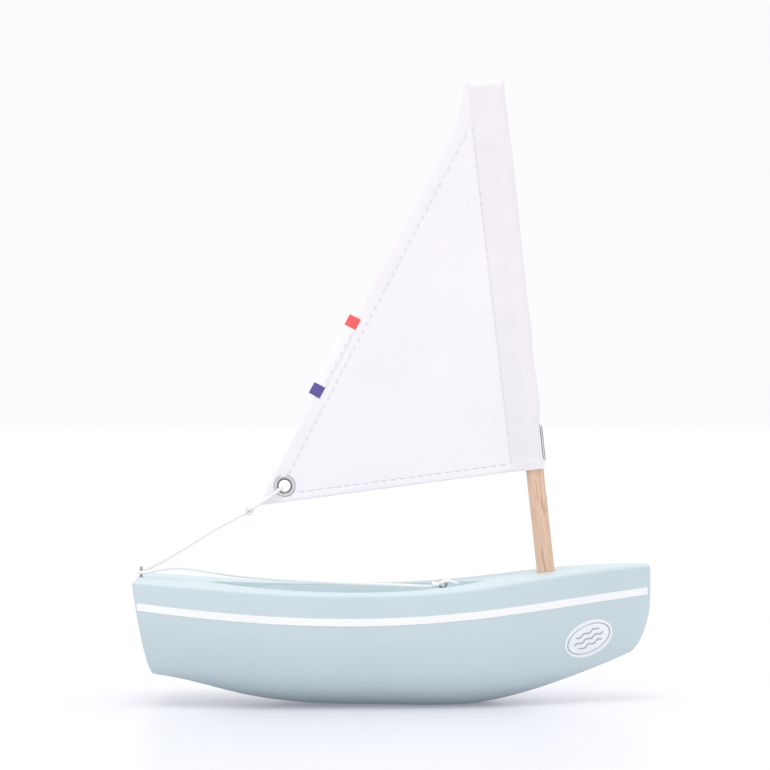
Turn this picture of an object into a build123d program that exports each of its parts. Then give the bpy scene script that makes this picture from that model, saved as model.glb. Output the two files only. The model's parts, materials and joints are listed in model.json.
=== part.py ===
from build123d import *
import math
import os

# Toy pond sailboat: a painted solid-wood hull, a raked dowel mast in a blind socket, a
# cloth sail sleeved over the mast, and one cotton sheet from the clew to two screw eyes.
# Millimetres. +X to the bow, +Y to port, +Z up. The origin is under the middle of the hull,
# on the flat of the keel.

# ---- driving dimensions ----------------------------------------------------------------

BOW_X = 85.0
STERN_X = -83.6
BEAM = 60.0
REACH = 2 * BOW_X

# One row per station: x, half breadth, keel height, deck height, and how full the bottom
# and the side are, as shares of the half breadth.
STATIONS = [
    (-89.0, 21.6, 12.9, 41.8, 0.76, 1.02),
    (-70.0, 25.4, 8.5, 40.3, 0.77, 1.03),
    (-50.0, 28.2, 3.6, 38.7, 0.76, 1.03),
    (-25.0, 29.8, 0.2, 37.4, 0.74, 1.03),
    (0.0, BEAM / 2, -0.4, 37.4, 0.72, 1.03),
    (25.0, 27.8, -0.3, 39.0, 0.72, 1.02),
    (45.0, 22.4, 3.7, 41.7, 0.66, 0.99),
    (62.0, 15.5, 9.4, 43.8, 0.52, 0.92),
    (75.0, 8.8, 14.6, 44.8, 0.42, 0.86),
    (86.0, 1.5, 19.6, 45.1, 0.40, 0.85),
]
KEEL_CUT = 4.0
HIGH = 60.0
STEM_LINE = [(28.0, -KEEL_CUT), (52.0, 2.8), (70.0, 11.6), (79.7, 17.4), (83.6, 25.4), (BOW_X, 37.0)]
TRANSOM_ARC = [(STERN_X, 45.0), (-81.0, 27.0), (-76.4, 6.0)]
BILGE_HEIGHT = 0.29
EDGE_ROUND = 1.2
TRANSOM_EDGE_OUT = 5.0

COCKPIT_FLOOR_Z = 31.5
COCKPIT_HALF = [(-59.0, 0.0), (-50.0, 8.6), (-38.0, 15.6), (-14.0, 21.6), (6.0, 19.6), (21.0, 11.0), (31.0, 0.0)]
COCKPIT_FLOOR_ROUND = 2.0
COCKPIT_REACH = 20.0

MAST_RADIUS = 2.9
MAST_RAKE = 6.2
MAST_FOOT = Vector(50.95, 0, 42.4)
MAST_SOCKET_DEPTH = 18.0
MAST_RUNNING_GAP = 0.05
MAST_END_GAP = 0.1
MAST_CHAMFER = 0.4
MAST_ABOVE_DECK = 158.5

CLOTH = 0.5
SLEEVE_GAP = 0.12
SLEEVE_BACK_TOP = 8.4
SLEEVE_BACK_FOOT = 7.55
SLEEVE_FOOT_Z = 75.2
SLEEVE_HEAD_Z = 202.2
SEAM_FOOT_Z = 77.0
SEAM_HEAD_Z = 189.5
SAIL_OUTLINE = [(24.4, 202.0), (21.6, 188.6), (-31.8, 85.6), (-41.1, 68.6), (-41.9, 64.4), (-37.4, 64.7), (-30.8, 66.0)]

THREAD = 0.35
STITCH_LENGTH = 2.0
STITCH_PITCH = 3.0
LEECH_HEM = 4.2
CLEW_CLEAR = 8.5
FOOT_HEM = 2.8

EYELET_CENTRE = Vector(-34.5, 0, 70.7)
EYELET_HOLE_RADIUS = 1.95
EYELET_BARREL = 0.3
EYELET_FLANGE_RADIUS = 3.6
EYELET_FLANGE = 0.35

LABEL_LENGTH = 29.0
LABEL_WIDTH = 4.0
LABEL_OUTSIDE = 2.2
LABEL_THICKNESS = 0.3
LABEL_UP_LEECH = 50.0
LABEL_STITCH_INSIDE = 1.0

STAPLE_CROWN = 11.8
STAPLE_WIRE = 0.7
STAPLE_LEG = 5.5
STAPLE_MIDDLE_Z = 84.6

EYE_RADIUS = 1.6
EYE_WIRE = 0.5
EYE_CORE = 0.42
EYE_THREAD = 6.0
EYE_RIDGES = 8
PILOT_RADIUS = 0.4
STERN_EYE = Vector(-81.2, 0, 43.3)
STERN_DECK_Z = 41.1
DECK_EYE = Vector(17.2, 0, 38.0)

CORD_RADIUS = 0.6
KNOT_RADIUS = 1.7
CLEW_KNOT = (-45.9, 0.0, 62.5)
COCKPIT_KNOT = (14.6, 0.0, 37.8)

# The sheet's four stretches: round the clew's corner, down to the stern eye, through it and
# forward over the cockpit, and the tail past the last knot.
CLEW_LOOP = [
    (-44.9, -0.8, 63.2),
    (-38.2, -1.45, 67.9),
    (-35.5, -1.4, 69.95),
    (-35.5, 1.4, 69.95),
    (-38.2, 1.45, 67.9),
    (-44.9, 0.8, 63.2),
]
SHEET_SPAN = [
    (-80.2, 0.0, 43.3),
    (-75.2, 0.0, 45.6),
    (-66.0, 0.0, 51.1),
    (-56.0, 0.0, 57.3),
    (-47.4, 0.0, 61.75),
]
SHEET_DECK_RUN = [
    (-80.47, 0.0, 43.3),
    (-82.6, 0.0, 43.3),
    (-82.6, -3.1, 42.8),
    (-79.6, -3.3, 42.4),
    (-74.0, -2.6, 43.9),
    (-67.5, -2.0, 44.2),
    (-60.0, -1.6, 43.0),
    (-50.5, -1.1, 41.4),
    (-37.0, -0.7, 40.2),
    (-20.0, -0.3, 39.2),
    (-4.0, 0.0, 38.5),
    (12.9, 0.0, 37.8),
]
SHEET_TAIL = [
    (15.2, -1.3, 38.3),
    (17.2, -1.5, 39.6),
    (19.6, -1.4, 39.6),
    (21.9, -1.1, 38.6),
]

STRIPE_WIDTH = 2.4
FILM = 0.12
STRIPE_LINE = [(-90.0, 34.0), (-60.0, 30.6), (-30.0, 28.6), (-8.0, 28.3), (27.0, 30.3), (58.0, 33.7), (90.0, 36.8)]
STRIPE_STERN_END = -81.4
STRIPE_BOW_END = 84.0

STICKER_CENTRE = Vector(64.0, 0, 21.5)
STICKER_LENGTH = 16.9
STICKER_HEIGHT = 11.4
STICKER_TILT = 25.0


# ---- directions that several pieces share ----------------------------------------------

MAST_UP = Vector(-math.sin(math.radians(MAST_RAKE)), 0, math.cos(math.radians(MAST_RAKE)))
SIDE = Vector(0, 1, 0)


def mast_at(z):
    """The point of the mast's axis at height z."""
    return MAST_FOOT + MAST_UP * ((z - MAST_FOOT.Z) / MAST_UP.Z)


def along_mast(point):
    """A plane whose normal runs up the mast and whose x points aft."""
    return Plane(origin=point, x_dir=Vector(-MAST_UP.Z, 0, MAST_UP.X), z_dir=MAST_UP)


def in_profile(edges, half_width):
    """A solid from edges drawn in the centreline plane, half_width to each side."""
    return extrude(make_face(edges), amount=half_width, dir=SIDE, both=True)


def profile(points):
    return [Vector(x, 0, z) for x, z in points]


# ---- hull ------------------------------------------------------------------------------

def section(station, proud):
    """One cross-section of the hull, a round-bilged U, proud of the hull by a film."""
    x, half, keel, deck, bottom, side = station
    half += proud
    keel -= proud
    bilge = keel + BILGE_HEIGHT * (deck - keel)
    starboard = Bezier((x, 0, keel), (x, -half * bottom, keel), (x, -half * side, bilge), (x, -half, deck))
    across = Line((x, -half, deck), (x, half, deck))
    port = Bezier((x, half, deck), (x, half * side, bilge), (x, half * bottom, keel), (x, 0, keel))
    return make_face([starboard, across, port])


def hull_block(proud=0.0):
    """The hull before it is hollowed: lofted sections, trimmed by stem, transom and keel flat."""
    body = loft([section(station, proud) for station in STATIONS])
    stem = Spline(profile(STEM_LINE), tangents=[(1, 0, 0.2), (0, 0, 1)])
    transom = ThreePointArc(*profile(TRANSOM_ARC))
    above = Polyline(stem @ 1, (BOW_X, 0, HIGH), (STERN_X, 0, HIGH), transom @ 0)
    below = Polyline(transom @ 1, (TRANSOM_ARC[-1][0], 0, -KEEL_CUT), stem @ 0)
    trim = in_profile([stem, above, transom, below], REACH)
    floor = Pos(0, 0, -KEEL_CUT) * Box(2 * REACH, REACH, 2 * KEEL_CUT)
    return (body & trim) - floor


def cockpit_tool():
    """The routed recess: a pointed oval with a flat floor and a round at its foot."""
    port = [Vector(x, y, COCKPIT_FLOOR_Z) for x, y in COCKPIT_HALF]
    starboard = [Vector(p.X, -p.Y, p.Z) for p in port]
    tool = extrude(make_face([Spline(port), Spline(starboard)]), amount=COCKPIT_REACH, dir=(0, 0, 1))
    foot = tool.edges().filter_by(lambda e: abs(e.center().Z - COCKPIT_FLOOR_Z) < 0.01)
    return fillet(foot, COCKPIT_FLOOR_ROUND)


def rim_edges(block):
    """The edges round the deck and down the sides of the transom."""
    deck = block.faces().sort_by(SortBy.AREA).filter_by(lambda f: f.center().Z > COCKPIT_FLOOR_Z)[-1]
    transom = block.edges().filter_by(lambda e: e.center().X < TRANSOM_ARC[-1][0] and abs(e.center().Y) > TRANSOM_EDGE_OUT)
    return deck.edges() + transom.filter_by(lambda e: e.center().Z < COCKPIT_FLOOR_Z)


def rounded_block():
    block = hull_block()
    return fillet(rim_edges(block), EDGE_ROUND)


def pilot_hole(eye, surface_z):
    """The hole that a screw eye is driven into."""
    hole = Cylinder(PILOT_RADIUS, EYE_THREAD + 1, align=(Align.CENTER, Align.CENTER, Align.MIN))
    return Pos(eye.X, eye.Y, surface_z - EYE_THREAD) * hole


def mast_socket():
    foot = MAST_FOOT - MAST_UP * MAST_SOCKET_DEPTH
    hole = Cylinder(
        MAST_RADIUS + MAST_RUNNING_GAP, 2 * MAST_SOCKET_DEPTH, align=(Align.CENTER, Align.CENTER, Align.MIN)
    )
    return along_mast(foot) * hole


def hull():
    block = rounded_block() - cockpit_tool() - mast_socket()
    return block - pilot_hole(STERN_EYE, STERN_DECK_Z) - pilot_hole(DECK_EYE, COCKPIT_FLOOR_Z)


def stripe(side):
    """A pinstripe along the side, a little below the edge of the deck."""
    upper = [(x, z + STRIPE_WIDTH / 2) for x, z in STRIPE_LINE]
    lower = [(x, z - STRIPE_WIDTH / 2) for x, z in STRIPE_LINE]
    top = Spline(profile(upper))
    bottom = Spline(profile(lower))
    ends = [Line(top @ 0, bottom @ 0), Line(top @ 1, bottom @ 1)]
    band = extrude(make_face([top, bottom] + ends), amount=REACH, dir=SIDE * side)
    length = STRIPE_BOW_END - STRIPE_STERN_END
    middle = (STRIPE_BOW_END + STRIPE_STERN_END) / 2
    reach = Pos(middle, 0, 0) * Box(length, REACH, REACH)
    return (hull_block(FILM) & band & reach) - rounded_block()


def bow_sticker():
    """A blank oval sticker on the starboard bow, tilted up towards the stem."""
    tilt = math.radians(STICKER_TILT)
    plane = Plane(origin=STICKER_CENTRE, x_dir=(math.cos(tilt), 0, math.sin(tilt)), z_dir=-SIDE)
    oval = plane * Ellipse(STICKER_LENGTH / 2, STICKER_HEIGHT / 2)
    reach = extrude(oval, amount=REACH, dir=-SIDE)
    return (hull_block(FILM) & reach) - rounded_block()


# ---- mast and sail ---------------------------------------------------------------------

def mast():
    """A dowel, chamfered at its foot, standing in the socket."""
    foot = MAST_FOOT - MAST_UP * (MAST_SOCKET_DEPTH - MAST_END_GAP)
    length = MAST_ABOVE_DECK + MAST_SOCKET_DEPTH - MAST_END_GAP
    dowel = Cylinder(MAST_RADIUS, length, align=(Align.CENTER, Align.CENTER, Align.MIN))
    return along_mast(foot) * chamfer(dowel.edges().filter_by(GeomType.CIRCLE), MAST_CHAMFER)


def seam_back(z):
    """How far behind the mast's axis the sleeve is sewn shut, at height z."""
    share = (z - SLEEVE_FOOT_Z) / (SLEEVE_HEAD_Z - SLEEVE_FOOT_Z)
    return SLEEVE_BACK_FOOT + share * (SLEEVE_BACK_TOP - SLEEVE_BACK_FOOT)


def seam_at(z):
    return mast_at(z) - Vector(seam_back(z), 0, 0)


def teardrop(z, radius, tail):
    """A level section of the sleeve: round the mast, then flat to a point behind it."""
    centre = mast_at(z)
    turn = math.acos(radius / tail)
    x = -radius * math.cos(turn)
    y = radius * math.sin(turn)
    port = centre + Vector(x, y, 0)
    starboard = centre + Vector(x, -y, 0)
    point = centre - Vector(tail, 0, 0)
    front = centre + Vector(radius, 0, 0)
    return make_face([ThreePointArc(port, front, starboard), Line(starboard, point), Line(point, port)])


def sleeve(radius, low, high, tail_past_seam):
    """A teardrop tube that follows the mast from one height to another."""
    return loft([teardrop(z, radius, seam_back(z) + tail_past_seam) for z in (low, high)])


def sail_panel():
    """The flat of the sail, from the sleeve's seam to the leech."""
    head = seam_at(SLEEVE_HEAD_Z)
    foot = seam_at(SLEEVE_FOOT_Z)
    outline = [(head.X, head.Z)] + SAIL_OUTLINE + [(foot.X, foot.Z)]
    return in_profile([Polyline(profile(outline), close=True)], CLOTH / 2)


def eyelet_hole():
    return eyelet_tube(0, EYELET_HOLE_RADIUS + EYELET_BARREL, -2, 2)


def sail():
    """One cloth: a panel folded round the mast and sewn to itself, with a closed head."""
    inside = MAST_RADIUS + SLEEVE_GAP
    outer = sleeve(inside + CLOTH, SLEEVE_FOOT_Z, SLEEVE_HEAD_Z, 3 * CLOTH)
    inner = sleeve(inside, SLEEVE_FOOT_Z - 1, SLEEVE_HEAD_Z - 2 * CLOTH, -CLOTH)
    return (outer + sail_panel()) - inner - eyelet_hole()


def dash(middle, direction, depth):
    """One stitch, lying along a seam and passing through the cloth."""
    return Plane(origin=middle, x_dir=direction, z_dir=SIDE) * Box(STITCH_LENGTH, THREAD, depth)


def stitch_row(start, end, depth):
    """A straight row of stitches from one point to another."""
    line = end - start
    count = int(line.length / STITCH_PITCH)
    places = [start + line * ((i + 0.5) / count) for i in range(count)]
    return Compound([dash(place, line.normalized(), depth) for place in places])


def seam_stitching():
    """The row that closes the sleeve, just behind the mast."""
    low = seam_at(SEAM_FOOT_Z)
    return stitch_row(low, seam_at(SEAM_HEAD_Z), 3 * CLOTH)


def leech_line():
    """The outer edge of the sail's back, from its shoulder to the clew."""
    points = profile(SAIL_OUTLINE)
    return points[1], points[3]


def leech_stitching():
    shoulder, corner = leech_line()
    along = (corner - shoulder).normalized()
    inward = Vector(-along.Z, 0, along.X)
    low = corner + inward * LEECH_HEM - along * CLEW_CLEAR
    return stitch_row(shoulder + inward * LEECH_HEM, low, 2 * CLOTH)


def foot_stitching():
    corner = profile(SAIL_OUTLINE)[-1]
    tack = seam_at(SLEEVE_FOOT_Z)
    along = (tack - corner).normalized()
    up = Vector(-along.Z, 0, along.X)
    return stitch_row(corner + up * FOOT_HEM, tack + up * FOOT_HEM - along, 2 * CLOTH)


def eyelet_tube(inner, outer, near, far):
    """A ring or a disc about the eyelet's axis, between two distances to port."""
    disc = Cylinder(outer, far - near, align=(Align.CENTER, Align.CENTER, Align.MIN))
    if inner:
        disc -= Cylinder(inner, far - near, align=(Align.CENTER, Align.CENTER, Align.MIN))
    return Plane(origin=EYELET_CENTRE + SIDE * near, z_dir=SIDE) * disc


def clew_eyelet():
    """The barrel and its flange on the starboard side, curled over the washer to port."""
    hole = EYELET_HOLE_RADIUS
    face = CLOTH / 2
    barrel = eyelet_tube(hole, hole + EYELET_BARREL, -face, face + EYELET_FLANGE)
    flange = eyelet_tube(hole, EYELET_FLANGE_RADIUS, -face - EYELET_FLANGE, -face)
    curl = eyelet_tube(hole, hole + 3 * EYELET_BARREL, face + EYELET_FLANGE, face + 2 * EYELET_FLANGE)
    return barrel + flange + curl


def clew_washer():
    face = CLOTH / 2
    return eyelet_tube(EYELET_HOLE_RADIUS + EYELET_BARREL, EYELET_FLANGE_RADIUS, face, face + EYELET_FLANGE)


def label_place(inside):
    """A plane lying along the leech at the label, inside the edge by the distance given."""
    shoulder, corner = leech_line()
    along = (shoulder - corner).normalized()
    inward = Vector(along.Z, 0, -along.X)
    middle = corner + along * LABEL_UP_LEECH + inward * inside
    return Plane(origin=middle, x_dir=along, z_dir=SIDE)


def label():
    """A woven ribbon folded over the edge of the leech."""
    ribbon = Box(LABEL_LENGTH, LABEL_WIDTH, CLOTH + 2 * LABEL_THICKNESS)
    return label_place(LABEL_WIDTH / 2 - LABEL_OUTSIDE) * ribbon - sail_panel()


def label_stitching():
    """The row that holds the folded label on the cloth."""
    place = label_place(LABEL_STITCH_INSIDE)
    end = place.x_dir * (LABEL_LENGTH / 2 - 1)
    return stitch_row(place.origin - end, place.origin + end, CLOTH + 2 * LABEL_THICKNESS + THREAD)


def luff_staple():
    """A wire staple through the front of the sleeve into the mast, which pins the sail."""
    front = MAST_RADIUS + SLEEVE_GAP + CLOTH
    wire = STAPLE_WIRE
    crown = Pos(-front - wire / 2, 0, 0) * Box(wire, wire, STAPLE_CROWN)
    leg = Box(STAPLE_LEG, wire, wire)
    reach = -front - wire + STAPLE_LEG / 2
    end = (STAPLE_CROWN - wire) / 2
    return along_mast(mast_at(STAPLE_MIDDLE_Z)) * (crown + Pos(reach, 0, end) * leg + Pos(reach, 0, -end) * leg)


# ---- screw eyes ------------------------------------------------------------------------

def screw_eye(centre, ring_axis, surface_z):
    """A wire ring on a shank whose threaded end is driven into the wood."""
    ring = Plane(origin=centre, z_dir=ring_axis) * Torus(EYE_RADIUS, EYE_WIRE)
    top = centre.Z - EYE_RADIUS
    tip = surface_z - EYE_THREAD
    pitch = EYE_THREAD / EYE_RIDGES
    outline = [(0, top), (EYE_WIRE, top), (EYE_WIRE, surface_z)]
    for ridge in range(EYE_RIDGES - 1):
        crest = surface_z - pitch * (ridge + 0.5)
        outline += [(EYE_CORE, crest + pitch / 2), (EYE_WIRE + 0.1, crest)]
    outline += [(EYE_CORE, tip + pitch), (0, tip)]
    face = make_face(Polyline([Vector(r, 0, z) for r, z in outline], close=True))
    shank = revolve(face, axis=Axis.Z)
    return ring + Pos(centre.X, centre.Y, 0) * shank


# ---- the sheet -------------------------------------------------------------------------

def corner_radii(points):
    """The largest arcs that a route's runs allow, one for each of its corners."""
    radii = []
    for before, corner, after in zip(points, points[1:], points[2:]):
        run_in = corner - before
        run_out = after - corner
        turn = math.radians(run_in.get_angle(run_out))
        radii.append(0.45 * min(run_in.length, run_out.length) / math.tan(turn / 2))
    return radii


def cord(name, route):
    """A round cord along a route of straight runs joined by tangent arcs."""
    points = [Vector(*p) for p in route]
    radii = corner_radii(points)
    path = FilletPolyline(*points, radius=radii)
    start = Plane(origin=path @ 0, z_dir=path % 0)
    tube = sweep(start * Circle(CORD_RADIUS), path=path)
    expected = math.pi * CORD_RADIUS**2 * path.length
    print(name, "length", round(path.length, 2), "radii", [round(r, 1) for r in radii])
    print(name, "volume", round(tube.volume, 2), "of", round(expected, 2))
    return tube


def knot(centre):
    """The outer shape of an overhand knot in the cord."""
    return Pos(*centre) * Sphere(KNOT_RADIUS)


# ---- the model -------------------------------------------------------------------------

NODES = {
    "hull": hull(),
    "stripe_starboard": stripe(-1),
    "stripe_port": stripe(1),
    "bow_sticker": bow_sticker(),
    "mast": mast(),
    "sail": sail(),
    "seam_stitching": seam_stitching(),
    "leech_stitching": leech_stitching(),
    "foot_stitching": foot_stitching(),
    "clew_eyelet": clew_eyelet(),
    "clew_washer": clew_washer(),
    "leech_label": label(),
    "label_stitching": label_stitching(),
    "luff_staple": luff_staple(),
    "stern_screw_eye": screw_eye(STERN_EYE, Vector(1, 0, 0), STERN_DECK_Z),
    "cockpit_screw_eye": screw_eye(DECK_EYE, SIDE, COCKPIT_FLOOR_Z),
    "clew_loop": cord("clew_loop", CLEW_LOOP),
    "clew_knot": knot(CLEW_KNOT),
    "sheet_span": cord("sheet_span", SHEET_SPAN),
    "sheet_deck_run": cord("sheet_deck_run", SHEET_DECK_RUN),
    "cockpit_knot": knot(COCKPIT_KNOT),
    "sheet_tail": cord("sheet_tail", SHEET_TAIL),
}

os.makedirs("parts", exist_ok=True)
for node, shape in NODES.items():
    export_step(shape, f"parts/{node}.step")
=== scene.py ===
import json
import math
import random

import bmesh
import bpy
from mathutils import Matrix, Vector, noise


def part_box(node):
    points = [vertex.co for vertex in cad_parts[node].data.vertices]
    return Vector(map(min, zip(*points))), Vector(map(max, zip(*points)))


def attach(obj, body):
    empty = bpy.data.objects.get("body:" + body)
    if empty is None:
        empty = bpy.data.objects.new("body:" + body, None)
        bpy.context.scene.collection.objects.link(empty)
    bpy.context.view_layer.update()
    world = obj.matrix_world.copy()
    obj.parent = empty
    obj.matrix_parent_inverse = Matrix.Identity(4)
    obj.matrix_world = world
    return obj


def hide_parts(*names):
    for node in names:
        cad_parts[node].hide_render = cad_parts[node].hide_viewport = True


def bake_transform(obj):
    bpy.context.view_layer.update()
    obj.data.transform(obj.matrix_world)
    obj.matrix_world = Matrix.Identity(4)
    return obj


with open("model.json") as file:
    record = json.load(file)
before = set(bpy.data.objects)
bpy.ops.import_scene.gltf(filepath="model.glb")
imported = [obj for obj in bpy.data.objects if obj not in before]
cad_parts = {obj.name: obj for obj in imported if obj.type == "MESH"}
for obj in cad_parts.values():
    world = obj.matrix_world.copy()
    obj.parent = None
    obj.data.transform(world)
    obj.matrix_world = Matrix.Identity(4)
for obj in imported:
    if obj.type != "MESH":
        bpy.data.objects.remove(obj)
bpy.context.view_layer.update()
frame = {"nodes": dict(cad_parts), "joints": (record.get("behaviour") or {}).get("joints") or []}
MM = 0.001
random.seed(7)


# ---- small helpers ---------------------------------------------------------------------

def mm(x, y, z):
    """A point given in millimetres."""
    return Vector((x, y, z)) * MM


def mix(a, b, share):
    return a + (b - a) * share


def smooth(share):
    """A step from 0 to 1 with flat ends."""
    share = min(1.0, max(0.0, share))
    return share * share * (3 - 2 * share)


def hump(distance, width):
    """1 at no distance, falling smoothly to nothing at a few widths."""
    return math.exp(-((distance / width) ** 2))


def middle(node):
    low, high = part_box(node)
    return (low + high) / 2


def line_length(line):
    return sum((b - a).length for a, b in zip(line, line[1:]))


def along(line, distance):
    """The point of a bent line that far from its first end."""
    for a, b in zip(line, line[1:]):
        run = (b - a).length
        if distance <= run:
            return a + (b - a) * (distance / run)
        distance -= run
    return line[-1].copy()


def distance_to(point, line):
    """How far a point is from a bent line, seen from the side."""
    flat = Vector((point.x, 0, point.z))
    nearest = []
    for a, b in zip(line, line[1:]):
        run = b - a
        share = min(1.0, max(0.0, (flat - a).dot(run) / run.length_squared))
        nearest.append((flat - a - run * share).length)
    return min(nearest)


# ---- where things are, from the frame --------------------------------------------------

TURN = frame["joints"][0]
MAST_FOOT = Vector(TURN["pos_m"])
MAST_UP = Vector(TURN["axis"]).normalized()
MAST_FRONT = Vector((MAST_UP.z, 0, -MAST_UP.x))
SIDE = Vector((0, 1, 0))
EYELET = middle("clew_eyelet")
LABEL = middle("leech_label")
LABEL_LENGTH = 29.0 * MM
STICKER_MIDDLE = middle("bow_sticker")
STAPLE_Z = middle("luff_staple").z - 0.6 * MM
# How far the staple's wire stands out from the mast's axis, in millimetres.
STAPLE_OUT = 3.5
# The sail's back edge, from the clew's corner to the head.
LEECH = [mm(-41.9, 0, 64.4), mm(-41.1, 0, 68.6), mm(21.6, 0, 188.6), mm(24.4, 0, 202.0)]
STICKER_TILT = math.radians(25)
STICKER_RING = (0.0075, 1, 0.0044)
# A box round the cockpit's walls and floor, clear of the deck and the sides.
RECESS_MIDDLE = (-0.014, 0, 0.0336)
RECESS_REACH = (0.046, 0.0225, 0.0035)
# How high above the keel the painted shade on the hull reaches.
PAINTED_SHADE_TOP = 12 * MM
# How strongly painted light pales the cockpit's walls and floor.
RECESS_PAINTED_LIGHT = 0.34
# The worn ring round the mast's socket: its radius, and the height it starts at.
BARE_RING_RADIUS = 0.0037
BARE_RING_ABOVE = 0.035


def mast_at(z):
    """The point of the mast's axis at height z."""
    return MAST_FOOT + MAST_UP * ((z - MAST_FOOT.z) / MAST_UP.z)


# ---- materials -------------------------------------------------------------------------

class Nodes:
    """A short way to write a material's node tree."""

    def __init__(self, name):
        self.material = bpy.data.materials.new(name)
        self.material.use_nodes = True
        self.tree = self.material.node_tree
        self.shader = self.tree.nodes["Principled BSDF"]
        self.place = self.add("ShaderNodeTexCoord").outputs["Object"]

    def add(self, kind, **settings):
        node = self.tree.nodes.new(kind)
        for key, value in settings.items():
            setattr(node, key, value)
        return node

    def link(self, source, target):
        self.tree.links.new(source, target)
        return source

    def scaled(self, x, y, z, turn=(0, 0, 0)):
        """Object coordinates, scaled in each direction after a turn."""
        turned = self.add("ShaderNodeMapping", vector_type="TEXTURE")
        turned.inputs["Rotation"].default_value = turn
        self.link(self.place, turned.inputs["Vector"])
        node = self.add("ShaderNodeMapping")
        node.inputs["Scale"].default_value = (x, y, z)
        self.link(turned.outputs["Vector"], node.inputs["Vector"])
        return node.outputs["Vector"]

    def local(self, origin, turn, size):
        """Coordinates from an origin, after a turn, in units of the sizes given."""
        node = self.add("ShaderNodeMapping", vector_type="TEXTURE")
        node.inputs["Location"].default_value = origin
        node.inputs["Rotation"].default_value = turn
        node.inputs["Scale"].default_value = size
        self.link(self.place, node.inputs["Vector"])
        return node.outputs["Vector"]

    def part(self, vector, axis):
        node = self.add("ShaderNodeSeparateXYZ")
        self.link(vector, node.inputs["Vector"])
        return node.outputs[axis]

    def vector_math(self, operation, a, b):
        node = self.add("ShaderNodeVectorMath", operation=operation)
        for socket, value in zip(node.inputs, (a, b)):
            if isinstance(value, (tuple, Vector)):
                socket.default_value = value
            else:
                self.link(value, socket)
        return node.outputs["Vector"]

    def size(self, vector):
        node = self.add("ShaderNodeVectorMath", operation="LENGTH")
        self.link(vector, node.inputs["Vector"])
        return node.outputs["Value"]

    def noise(self, scale, detail=3.0, vector=None, rough=0.5):
        node = self.add("ShaderNodeTexNoise")
        node.inputs["Scale"].default_value = scale
        node.inputs["Detail"].default_value = detail
        node.inputs["Roughness"].default_value = rough
        self.link(vector or self.place, node.inputs["Vector"])
        return node.outputs["Fac"]

    def wave(self, scale, direction, distortion=0.0, vector=None):
        node = self.add("ShaderNodeTexWave", bands_direction=direction)
        node.inputs["Scale"].default_value = scale
        node.inputs["Distortion"].default_value = distortion
        self.link(vector or self.place, node.inputs["Vector"])
        return node.outputs["Fac"]

    def ramp(self, value, stops, steps="LINEAR"):
        node = self.add("ShaderNodeValToRGB")
        node.color_ramp.interpolation = steps
        elements = node.color_ramp.elements
        while len(elements) < len(stops):
            elements.new(0.5)
        for element, (position, colour) in zip(elements, stops):
            element.position = position
            element.color = (*colour, 1)
        self.link(value, node.inputs["Fac"])
        return node.outputs["Color"]

    def between(self, value, low, high):
        """A value from 0 to 1, stretched to run from low to high."""
        node = self.add("ShaderNodeMapRange")
        node.inputs["To Min"].default_value = low
        node.inputs["To Max"].default_value = high
        self.link(value, node.inputs["Value"])
        return node.outputs["Result"]

    def math(self, operation, a, b):
        node = self.add("ShaderNodeMath", operation=operation)
        for socket, value in zip(node.inputs, (a, b)):
            if isinstance(value, (int, float)):
                socket.default_value = value
            else:
                self.link(value, socket)
        return node.outputs["Value"]

    def blend(self, share, a, b, kind="MIX"):
        node = self.add("ShaderNodeMixRGB", blend_type=kind)
        for socket, value in zip(node.inputs, (share, a, b)):
            if isinstance(value, (int, float)):
                socket.default_value = value
            elif isinstance(value, tuple):
                socket.default_value = (*value, 1)
            else:
                self.link(value, socket)
        return node.outputs["Color"]

    def bump(self, height, distance, strength=1.0, under=None):
        node = self.add("ShaderNodeBump")
        node.inputs["Distance"].default_value = distance
        node.inputs["Strength"].default_value = strength
        self.link(height, node.inputs["Height"])
        if under:
            self.link(under, node.inputs["Normal"])
        return node.outputs["Normal"]

    def finish(self, colour, rough, normal=None, **fixed):
        self.link(colour, self.shader.inputs["Base Color"])
        self.link(rough, self.shader.inputs["Roughness"])
        if normal:
            self.link(normal, self.shader.inputs["Normal"])
        for name, value in fixed.items():
            self.shader.inputs[name.replace("_", " ")].default_value = value
        return self.material


def painted_wood():
    """Pale blue satin paint over sanded wood: the grain shows faintly, painted shade darkens it towards the
    keel and painted light pales the cockpit.
    """
    n = Nodes("painted_wood")
    along = n.scaled(14, 160, 160)
    grain = n.noise(9.0, 4.0, along)
    cloud = n.noise(28.0, 3.0)
    speck = n.noise(900.0, 2.0)
    colour = n.ramp(cloud, [(0.3, (0.580, 0.690, 0.724)), (0.7, (0.612, 0.716, 0.748))])
    colour = n.blend(n.between(grain, 0.0, 0.10), colour, (0.50, 0.63, 0.68))
    # Painted shade: the hull's colour darkens towards the keel.
    low = n.math("MULTIPLY", n.part(n.place, "Z"), 1 / PAINTED_SHADE_TOP)
    painted_shade = n.ramp(low, [(0.25, (0.79, 0.79, 0.80)), (0.6, (0.92, 0.92, 0.93)), (1.0, (1, 1, 1))])
    colour = n.blend(1.0, colour, painted_shade, "MULTIPLY")
    # Painted light: the cockpit's walls and floor are paled against the shade in the recess.
    colour = n.blend(n.math("MULTIPLY", in_recess(n), RECESS_PAINTED_LIGHT), colour, (0.80, 0.88, 0.91))
    colour = n.blend(bare_ring(n), colour, (0.62, 0.46, 0.34))
    normal = n.bump(grain, 0.00025, 0.25)
    normal = n.bump(speck, 0.00005, 0.25, normal)
    return n.finish(colour, n.between(cloud, 0.38, 0.50), normal, Specular_IOR_Level=0.4)


def in_recess(n):
    """1 on the walls and floor of the cockpit, where painted light pales the paint."""
    from_middle = n.vector_math("SUBTRACT", n.place, RECESS_MIDDLE)
    inside = 1.0
    for axis, reach in zip("XYZ", RECESS_REACH):
        off = n.math("ABSOLUTE", n.part(from_middle, axis), 0.0)
        inside = n.math("MULTIPLY", n.math("LESS_THAN", off, reach), inside)
    return inside


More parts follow.
